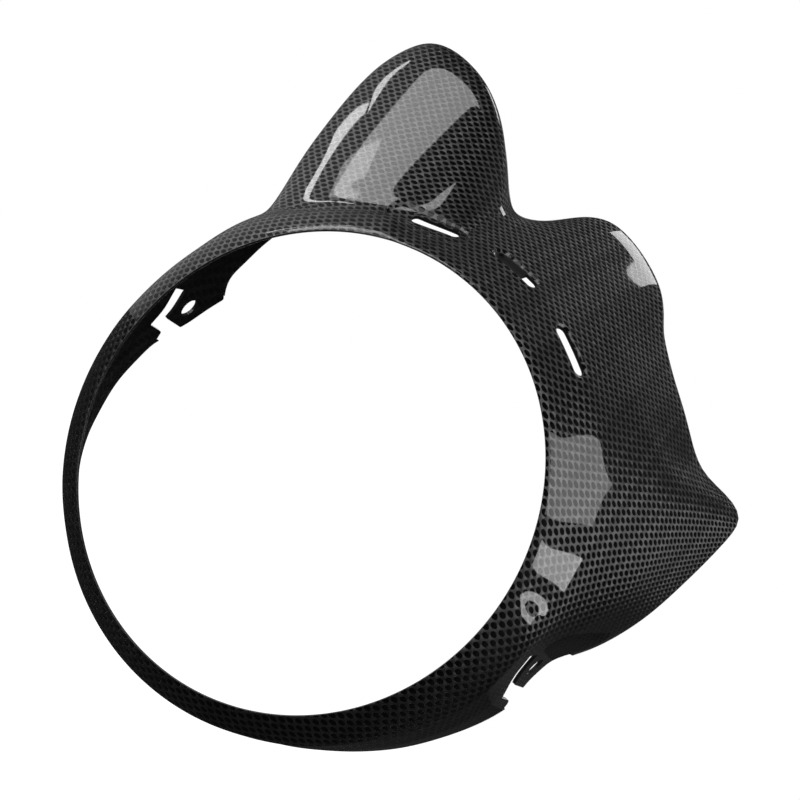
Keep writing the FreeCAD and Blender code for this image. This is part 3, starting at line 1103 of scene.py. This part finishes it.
@dataclass(frozen=True)
class ClothLay:
    """How the woven cloth lies on the moulded form: straight tows, evenly spaced."""

    rounds: int = 900
    least_strength: float = 1e-12
    least_facing: float = 0.25
    hood_turn_degrees: float = -15.0
    hood_from: float = 103.5
    hood_to: float = 149.5
    hood_crease: float = 3.3

    def places(self, points: np.ndarray) -> np.ndarray:
        """Cloth coordinates of a grid of points, in the points' own units.

        Args:
            points: Grid of points, closed along its first axis, XYZ last.

        Returns:
            Cloth coordinates, the two of them last.
        """
        normals = normals_of(points)
        front = np.array([0.0, -1.0, 0.0])
        facing = np.maximum(1.0 + normals @ front, self.least_facing)
        found = []
        for tow in (np.array([1.0, 0.0, 0.0]), np.array([0.0, 0.0, 1.0])):
            lean = (normals @ tow) / facing
            direction = tow - lean[..., None] * (normals + front)
            found.append(self._stretch_least(points, direction, points @ tow))
        return np.stack(found, axis=2)

    def _stretch_least(self, points: np.ndarray, direction: np.ndarray, start: np.ndarray) -> np.ndarray:
        """Field on the grid whose slope is nearest to a direction, by conjugate gradients.

        Args:
            points: Grid of points, closed along its first axis.
            direction: Wanted slope of the field at each point.
            start: First guess of the field.

        Returns:
            The field at each grid point.
        """
        step_around = np.roll(points, -1, axis=0) - points
        step_along = points[:, 1:] - points[:, :-1]
        long_around = np.linalg.norm(step_around, axis=2)
        long_along = np.linalg.norm(step_along, axis=2)
        wide_around = np.zeros_like(long_around)
        wide_around[:, 1:] += long_along / 2.0
        wide_around[:, :-1] += long_along / 2.0
        across = (long_around + np.roll(long_around, 1, axis=0)) / 2.0
        wide_along = (across[:, 1:] + across[:, :-1]) / 2.0
        weight_around = wide_around / long_around
        weight_along = wide_along / long_along
        rise_around = np.sum(step_around * (direction + np.roll(direction, -1, axis=0)) / 2.0, axis=2)
        rise_along = np.sum(step_along * (direction[:, 1:] + direction[:, :-1]) / 2.0, axis=2)

        def gather(flow_around: np.ndarray, flow_along: np.ndarray) -> np.ndarray:
            """Gather the flows along the grid's edges.

            Args:
                flow_around: Flow from each column to the next.
                flow_along: Flow from each row to the next.

            Returns:
                What flows into each grid point less what flows out.
            """
            total = np.roll(flow_around, 1, axis=0) - flow_around
            total[:, 1:] += flow_along
            total[:, :-1] -= flow_along
            return total

        def spread(values: np.ndarray) -> np.ndarray:
            """Gather the weighted differences of a field.

            Args:
                values: The field at each grid point.

            Returns:
                What gathers at each grid point.
            """
            around = weight_around * (np.roll(values, -1, axis=0) - values)
            along = weight_along * (values[:, 1:] - values[:, :-1])
            return gather(around, along)

        scale = weight_around + np.roll(weight_around, 1, axis=0)
        scale[:, 1:] += weight_along
        scale[:, :-1] += weight_along
        values = start.copy()
        left = gather(weight_around * rise_around, weight_along * rise_along) - spread(values)
        scaled = left / scale
        heading = scaled.copy()
        strength = np.sum(left * scaled)
        for _ in range(self.rounds):
            spread_heading = spread(heading)
            pace = strength / np.sum(heading * spread_heading)
            values += pace * heading
            left -= pace * spread_heading
            scaled = left / scale
            renewed = np.sum(left * scaled)
            if abs(renewed) < self.least_strength:
                break
            heading = scaled + heading * (renewed / strength)
            strength = renewed
        return values

    def on_hood(self, angles: np.ndarray, places: np.ndarray) -> np.ndarray:
        """Which faces lie on the hood, whose cloth is laid at its own angle."""
        around = (angles % FULL_TURN)[:, None]
        return (around > self.hood_from) & (around < self.hood_to) & (places[None, :] > self.hood_crease)


@dataclass(frozen=True)
class Sheet:
    """One skin of the shell: the places of its rows along each cut, its points and its cloth."""

    places: np.ndarray
    points: np.ndarray
    cloth: np.ndarray


@dataclass
class CarbonShell:
    """The moulded shell: its walls, rounded edges, vent slots, ears and cloth.

    Each arc of mesh columns is its first and last angle and its step, and each band of mesh rows is
    its first and last place along a cut and its number of rows.
    """

    form: MouldedForm = field(default_factory=MouldedForm)
    slots: VentSlots = field(default_factory=VentSlots)
    ears: SideEars = field(default_factory=SideEars)
    cloth: ClothLay = field(default_factory=ClothLay)
    wall: float = 1.4
    lip_round: float = 0.35
    rim_round: float = 0.45
    lip_gap: float = 0.01
    rim_gap: float = 0.2
    lip_tries: int = 400
    edge_steps: int = 4
    sharp_degrees: float = 38.0
    arcs: tuple[Triple, ...] = (
        (60.0, 126.0, 0.3),
        (126.0, 150.0, 0.5),
        (150.0, 420.0, 1.2),
    )
    outer_rows: tuple[Band, ...] = ((0.0, 2.0, 18), (2.0, 4.0, 40), (4.0, 9.0, 38))
    inner_rows: tuple[Band, ...] = ((0.0, 2.0, 8), (2.0, 4.0, 20), (4.0, 9.0, 20))

    def build(self, finishes: list[bpy.types.Material]) -> bpy.types.Object:
        """Build the finished shell.

        Args:
            finishes: Outer, inner and edge materials, in the order of Skin.

        Returns:
            The shell's object.
        """
        net = self.form.net()
        angles = self.angles()
        outer = self._sheet(net, angles, self.outer_rows)
        inner = self._sheet(self.form.offset(net, -self.wall), angles, self.inner_rows)
        mesh = self._mesh(angles, outer, inner)
        for finish in finishes:
            mesh.materials.append(finish)
        shell = put_in_scene("carbon_shell", mesh)
        cutters = [self.slots.cutters(finishes[Skin.EDGE.value]), *self.ears.cutters()]
        self._cut(shell, cutters, self.slots.tab(self.form, net, self.wall))
        return shell

    def angles(self) -> np.ndarray:
        """Place the mesh columns, closer together where there is more detail.

        Returns:
            The angle of each column.
        """
        runs = []
        for start, end, step in self.arcs:
            count = round((end - start) / step)
            runs.append(start + (end - start) * np.arange(count) / count)
        return np.concatenate(runs)

    def _sheet(self, net: np.ndarray, angles: np.ndarray, bands: tuple[Band, ...]) -> Sheet:
        """Make one skin, with the recesses of the slots pressed in.

        Args:
            net: Control net of the skin.
            angles: Angle of each mesh column.
            bands: Bands of mesh rows.

        Returns:
            The skin, whose last row stops short so that the rounded rim ends on the form.
        """
        first, last = self._lip_place(net), self.form.last_place()
        runs = [np.linspace(start, end, count, endpoint=False) for start, end, count in bands]
        places = np.concatenate(runs)
        inside = places[(places > first + self.lip_gap) & (places < last - self.rim_gap)]
        places = np.concatenate([[first], inside, [last]])
        points = self.form.surface(net, angles, places)
        near = self.form.surface(net, angles, np.array([last - self.rim_gap, last]))
        along = near[:, 1] - near[:, 0]
        points[:, -1] = near[:, 1] - along / np.linalg.norm(along, axis=1, keepdims=True) * self.rim_round
        return Sheet(places, points + self.slots.sink(points), self.cloth.places(points))

    def _lip_place(self, net: np.ndarray) -> float:
        """Find where a skin meets the rounded edge of the lamp opening.

        Args:
            net: Control net of the skin.

        Returns:
            The place along each cut.
        """
        tries = np.linspace(0.0, 1.0, self.lip_tries)
        points = self.form.surface(net, np.array([0.0]), tries)[0]
        reached = np.hypot(points[:, 0], points[:, 2])
        return float(np.interp(RING.radius + self.lip_round, reached, tries))

    def _round(self, start: np.ndarray, end: np.ndarray, outwards: np.ndarray) -> np.ndarray:
        """Half-round edge of the rim.

        Args:
            start: Points that it starts from.
            end: Points that it ends at.
            outwards: Direction that it bulges in at each point.

        Returns:
            Points of its rows, columns by rows by XYZ.
        """
        out = outwards / np.linalg.norm(outwards, axis=1, keepdims=True) * self.rim_round
        middle = (start + end) / 2.0
        half = (start - end) / 2.0
        steps = 2 * self.edge_steps
        turns = [math.pi * i / steps for i in range(1, steps)]
        return np.stack([middle + half * math.cos(turn) + out * math.sin(turn) for turn in turns], axis=1)

    def _bore(self, inner_lip: np.ndarray, outer_lip: np.ndarray) -> np.ndarray:
        """Lamp opening from the inner skin to the outer skin, with both of its edges rounded.

        Args:
            inner_lip: First points of the inner skin.
            outer_lip: First points of the outer skin.

        Returns:
            Points of its rows, columns by rows by XYZ.
        """
        quarter = [math.pi / 2.0 * i / self.edge_steps for i in range(1, self.edge_steps + 1)]
        rows = []
        for lip, order, sign in ((inner_lip, quarter, -1.0), (outer_lip, quarter[::-1], 1.0)):
            radius = np.hypot(lip[:, 0], lip[:, 2])
            cos_turn, sin_turn = lip[:, 0] / radius, lip[:, 2] / radius
            for turn in order:
                at_radius = RING.radius + self.lip_round * (1.0 - math.sin(turn))
                depth = lip[:, 1] + sign * self.lip_round * (1.0 - math.cos(turn))
                rows.append(np.stack([at_radius * cos_turn, depth, at_radius * sin_turn], axis=1))
        return np.stack(rows, axis=1)

    def _mesh(self, angles: np.ndarray, outer: Sheet, inner: Sheet) -> bpy.types.Mesh:
        """Close the two skins into the uncut shell, with its finishes and cloth coordinates.

        Args:
            angles: Angle of each mesh column.
            outer: The outer skin.
            inner: The inner skin.

        Returns:
            The mesh, in metres.
        """
        outer_rim, inner_rim = outer.points[:, -1], inner.points[:, -1]
        rim = self._round(outer_rim, inner_rim, outer_rim - outer.points[:, -2])
        bore = self._bore(inner.points[:, 0], outer.points[:, 0])
        ring = np.concatenate([outer.points, rim, inner.points[:, ::-1], bore], axis=1)
        rim_cloth = np.repeat(outer.cloth[:, -1:], rim.shape[1], axis=1)
        bore_cloth = np.repeat(outer.cloth[:, :1], bore.shape[1], axis=1)
        cloth = np.concatenate([outer.cloth, rim_cloth, inner.cloth[:, ::-1], bore_cloth], axis=1)

        columns, rows = ring.shape[:2]
        index = np.arange(columns * rows).reshape(columns, rows)
        after = np.roll(index, -1, axis=0)
        quads = np.stack([index, np.roll(index, -1, axis=1), np.roll(after, -1, axis=1), after], axis=2)
        quads = quads.reshape(-1, 4)
        outer_faces = len(outer.places) - 1
        inner_start = outer_faces + 1 + rim.shape[1]
        skins = np.full(rows, Skin.EDGE.value)
        skins[:outer_faces] = Skin.OUTER.value
        skins[inner_start:inner_start + len(inner.places) - 1] = Skin.INNER.value
        mesh = bpy.data.meshes.new("carbon_shell")
        mesh.from_pydata((ring.reshape(-1, 3) * MM).tolist(), [], quads.tolist())
        mesh.polygons.foreach_set("material_index", np.tile(skins, columns).astype(np.int32))
        mesh.polygons.foreach_set("use_smooth", np.ones(columns * rows, bool))

        corner_cloth = cloth.reshape(-1, 2)[quads]
        places = np.full(rows, -1.0)
        places[:outer_faces] = (outer.places[:-1] + outer.places[1:]) / 2.0
        middles = angles + np.append(np.diff(angles), angles[0] + FULL_TURN - angles[-1]) / 2.0
        hood = self.cloth.on_hood(middles, places).reshape(-1)
        corner_cloth[hood] = turned(corner_cloth[hood], math.radians(self.cloth.hood_turn_degrees))
        layer = mesh.uv_layers.new(name=CLOTH_MAP)
        layer.data.foreach_set("uv", (corner_cloth.reshape(-1) * MM).astype(np.float32))
        return mesh

    def _cut(self, shell: bpy.types.Object, cutters: list[bpy.types.Mesh], tab: bpy.types.Mesh) -> None:
        """Cut the slots, the ears and their holes out of the shell and join the tab to it.

        Args:
            shell: The uncut shell.
            cutters: What is cut away.
            tab: The tab behind the middle slot.
        """
        tools = []
        for mesh in (*cutters, tab):
            mesh.materials.clear()
            for finish in shell.data.materials:
                mesh.materials.append(finish)
            faces = len(mesh.polygons)
            mesh.polygons.foreach_set("material_index", np.full(faces, Skin.EDGE.value, np.int32))
            tool = put_in_scene("shell_tool", mesh)
            modifier = shell.modifiers.new("cut", "BOOLEAN")
            modifier.operation = "UNION" if mesh is tab else "DIFFERENCE"
            modifier.solver = "MANIFOLD"
            modifier.object = tool
            tools.append(tool)
        depsgraph = bpy.context.evaluated_depsgraph_get()
        mesh = bpy.data.meshes.new_from_object(shell.evaluated_get(depsgraph))
        shell.modifiers.clear()
        uncut, shell.data = shell.data, mesh
        bpy.data.meshes.remove(uncut)
        for tool in tools:
            bpy.data.objects.remove(tool)
        mesh.name = "carbon_shell"
        mesh.set_sharp_from_angle(angle=math.radians(self.sharp_degrees))


@dataclass(frozen=True)
class Softbox:
    """A rectangular studio lamp that faces the part.

    The slant is the share of its height at which its right side starts to run in, and the share of
    its width that is left at the top.
    """

    name: str
    direction: Triple
    upright: Triple
    width: float
    height: float
    brightness: float
    slant: tuple[float, float] = (1.0, 1.0)
    distance: float = 3.0
    aim: Triple = (0.0, 0.03, 0.0)

    def build(self) -> None:
        """Put the lamp in the scene, its brightness being the radiance of its face."""
        data = bpy.data.lights.new(self.name, "AREA")
        data.shape = "RECTANGLE"
        data.size = self.width
        data.size_y = self.height
        data.energy = self.brightness * math.pi * self.width * self.height
        if self.slant[1] < 1.0:
            self._slant(data)
        backward = Vector(self.direction).normalized()
        across = Vector(self.upright).cross(backward).normalized()
        turn = Matrix((across, backward.cross(across), backward)).transposed().to_4x4()
        place = Vector(self.aim) + backward * self.distance
        put_in_scene(self.name, data).matrix_world = Matrix.Translation(place) @ turn

    def _slant(self, data: bpy.types.Light) -> None:
        """Let the lamp's right side run in at a slant over its upper part.

        Args:
            data: The lamp's light.
        """
        slant_start, top_width = self.slant
        data.use_nodes = True
        maths = NodeMaths(data.node_tree)
        across, up, _ = maths.split(maths.node("ShaderNodeNewGeometry").outputs["Parametric"])
        climb = maths.divide(maths.subtract(up, slant_start), 1.0 - slant_start)
        side = maths.subtract(1.0, maths.multiply(climb, 1.0 - top_width))
        maths.feed(data.node_tree.nodes["Emission"], {"Strength": maths.less(across, side)})


@dataclass(frozen=True)
class Studio:
    """Camera, lamps, surroundings and floor of the picture."""

    lens: float = 65.6387
    sensor: float = 36.0
    nearest: float = 0.01
    camera_place: Triple = (0.193795, -0.509507, 0.054006)
    camera_turn_degrees: Triple = (88.3654, -44.4560, 20.9565)
    backdrop_direction: Triple = (-0.34, 0.94, 0.0)
    backdrop_edge: float = 0.985
    backdrop_fade: float = 0.012
    ambient: float = 0.15
    dim_wall: float = 0.04
    side_wall: float = 0.35
    side_wall_from: float = 0.55
    side_wall_full: float = 0.95
    floor_height: float = -0.45
    floor_size: float = 6.0
    floor_glow: float = 0.85
    floor_pale: float = 0.8
    floor_dark: float = 0.06
    softboxes: tuple[Softbox, ...] = (
        Softbox("right_softbox", (0.633, -0.103, 0.768), (-0.771, 0.075, 0.632), 2.02, 1.28, 2.3),
        Softbox("low_right_softbox", (0.896, 0.039, 0.441), (-0.461, 0.102, 0.882), 1.45, 0.42, 5.0),
        Softbox(
            "hood_softbox", (-0.608, -0.419, 0.674), (0.734, -0.058, 0.676), 0.42, 2.70, 3.9, (0.396, 0.0)
        ),
        Softbox("hood_low_strip", (-0.812, -0.344, 0.472), (0.770, -0.277, 0.575), 0.09, 0.60, 3.0),
        Softbox(
            "hood_side_strip", (-0.896, -0.233, 0.379), (0.512, -0.490, 0.705), 0.07, 0.56, 8.0, (0.2, 0.35)
        ),
        Softbox("hood_top_strip", (-0.814, -0.276, 0.511), (0.454, -0.028, 0.890), 0.06, 0.36, 8.0),
        Softbox("top_softbox", (-0.145, 0.479, 0.866), (0.000, 0.914, -0.406), 0.75, 0.72, 4.0),
        Softbox("front_softbox", (-0.550, -0.800, 0.200), (0.0, 0.0, 1.0), 2.40, 2.40, 1.5),
    )

    def build(self) -> None:
        """Set up the whole studio."""
        self._camera()
        self._surroundings()
        self._floor()
        for softbox in self.softboxes:
            softbox.build()
        bpy.context.scene.view_settings.view_transform = "Standard"

    def _camera(self) -> None:
        """Create the camera that matches the reference view."""
        data = bpy.data.cameras.new("camera")
        data.lens = self.lens
        data.sensor_width = self.sensor
        data.clip_start = self.nearest
        camera = put_in_scene("camera", data)
        camera.location = self.camera_place
        camera.rotation_euler = [math.radians(angle) for angle in self.camera_turn_degrees]
        bpy.context.scene.camera = camera

    @staticmethod
    def _rays(maths: NodeMaths) -> tuple[Socket, Socket]:
        """Tell two kinds of ray from the rest.

        Args:
            maths: Maths of the tree that asks.

        Returns:
            One for what the camera sees itself, and one for what the part mirrors.
        """
        path = maths.node("ShaderNodeLightPath").outputs
        return maths.maximum(path["Is Camera Ray"], path["Is Transmission Ray"]), path["Is Glossy Ray"]

    def _surroundings(self) -> None:
        """Plain white for the camera. What the part mirrors is a dim room with a narrow white backdrop."""
        world = bpy.data.worlds.new("studio")
        bpy.context.scene.world = world
        world.use_nodes = True
        maths = NodeMaths(world.node_tree)
        x, y, _ = maths.split(maths.node("ShaderNodeTexCoord").outputs["Generated"])
        towards_x = maths.multiply(x, self.backdrop_direction[0])
        towards = maths.add(towards_x, maths.multiply(y, self.backdrop_direction[1]))
        backdrop = maths.ramp(towards, self.backdrop_edge - self.backdrop_fade, self.backdrop_edge)
        to_the_left = maths.ramp(maths.multiply(x, -1.0), self.side_wall_from, self.side_wall_full)
        side = maths.multiply(to_the_left, self.side_wall)
        room = maths.maximum(maths.maximum(backdrop, side), self.dim_wall)
        seen, mirrored = self._rays(maths)
        lit = maths.mix(mirrored, self.ambient, room)
        background = world.node_tree.nodes["Background"]
        maths.feed(background, {"Color": WHITE, "Strength": maths.mix(seen, lit, 1.0)})

    def _floor(self) -> None:
        """Floor that takes the part's shadow: pale for the camera, dark in what the part mirrors."""
        half = self.floor_size / 2.0
        corners = [(-half, -half), (half, -half), (half, half), (-half, half)]
        mesh = bpy.data.meshes.new("floor")
        points = [(x, y, self.floor_height) for x, y in corners]
        mesh.from_pydata(points, [], [list(range(len(points)))])
        floor = put_in_scene("floor", mesh)
        material, shader, maths = new_material("floor")
        seen, _ = self._rays(maths)
        maths.feed(shader, {
            "Base Color": maths.grey(maths.mix(seen, self.floor_dark, self.floor_pale)),
            "Roughness": 1.0,
            "Specular IOR Level": 0.0,
            "Emission Color": WHITE,
            "Emission Strength": maths.multiply(seen, self.floor_glow),
        })
        mesh.materials.append(material)


def finishes() -> list[bpy.types.Material]:
    """Make the shell's three finishes.

    Returns:
        The outer, inner and edge materials, in the order of Skin.
    """
    outer = WovenCarbon(
        name="gloss_plain_weave",
        pitch=2.0 * MM,
        repeat=2,
        # Painted shade on the tows that run across, painted light on those that run up.
        painted_shade_cross=0.01,
        painted_light_upright=0.2,
        roughness=0.55,
        coat=1.0,
        coat_roughness=0.02,
        tow_relief=0.1 * MM,
        fibre_relief=0.006 * MM,
    )
    inner = WovenCarbon(
        name="satin_twill_weave",
        pitch=2.6 * MM,
        repeat=4,
        # Painted shade on the tows that run across, painted light on those that run up.
        painted_shade_cross=0.04,
        painted_light_upright=0.1,
        roughness=0.6,
        coat=0.3,
        coat_roughness=0.3,
        tow_relief=0.16 * MM,
        fibre_relief=0.02 * MM,
    )
    return [outer.material(), inner.material(), SealedEdge().material()]


def main() -> None:
    """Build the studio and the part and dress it."""
    logging.basicConfig(level=logging.INFO, format="%(name)s: %(message)s")
    Studio().build()
    shell = CarbonShell().build(finishes())
    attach(shell, "root")
    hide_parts(CAD_NODE)
    LOG.info("%s: %d faces", shell.name, len(shell.data.polygons))


if __name__ == "__main__":
    main()
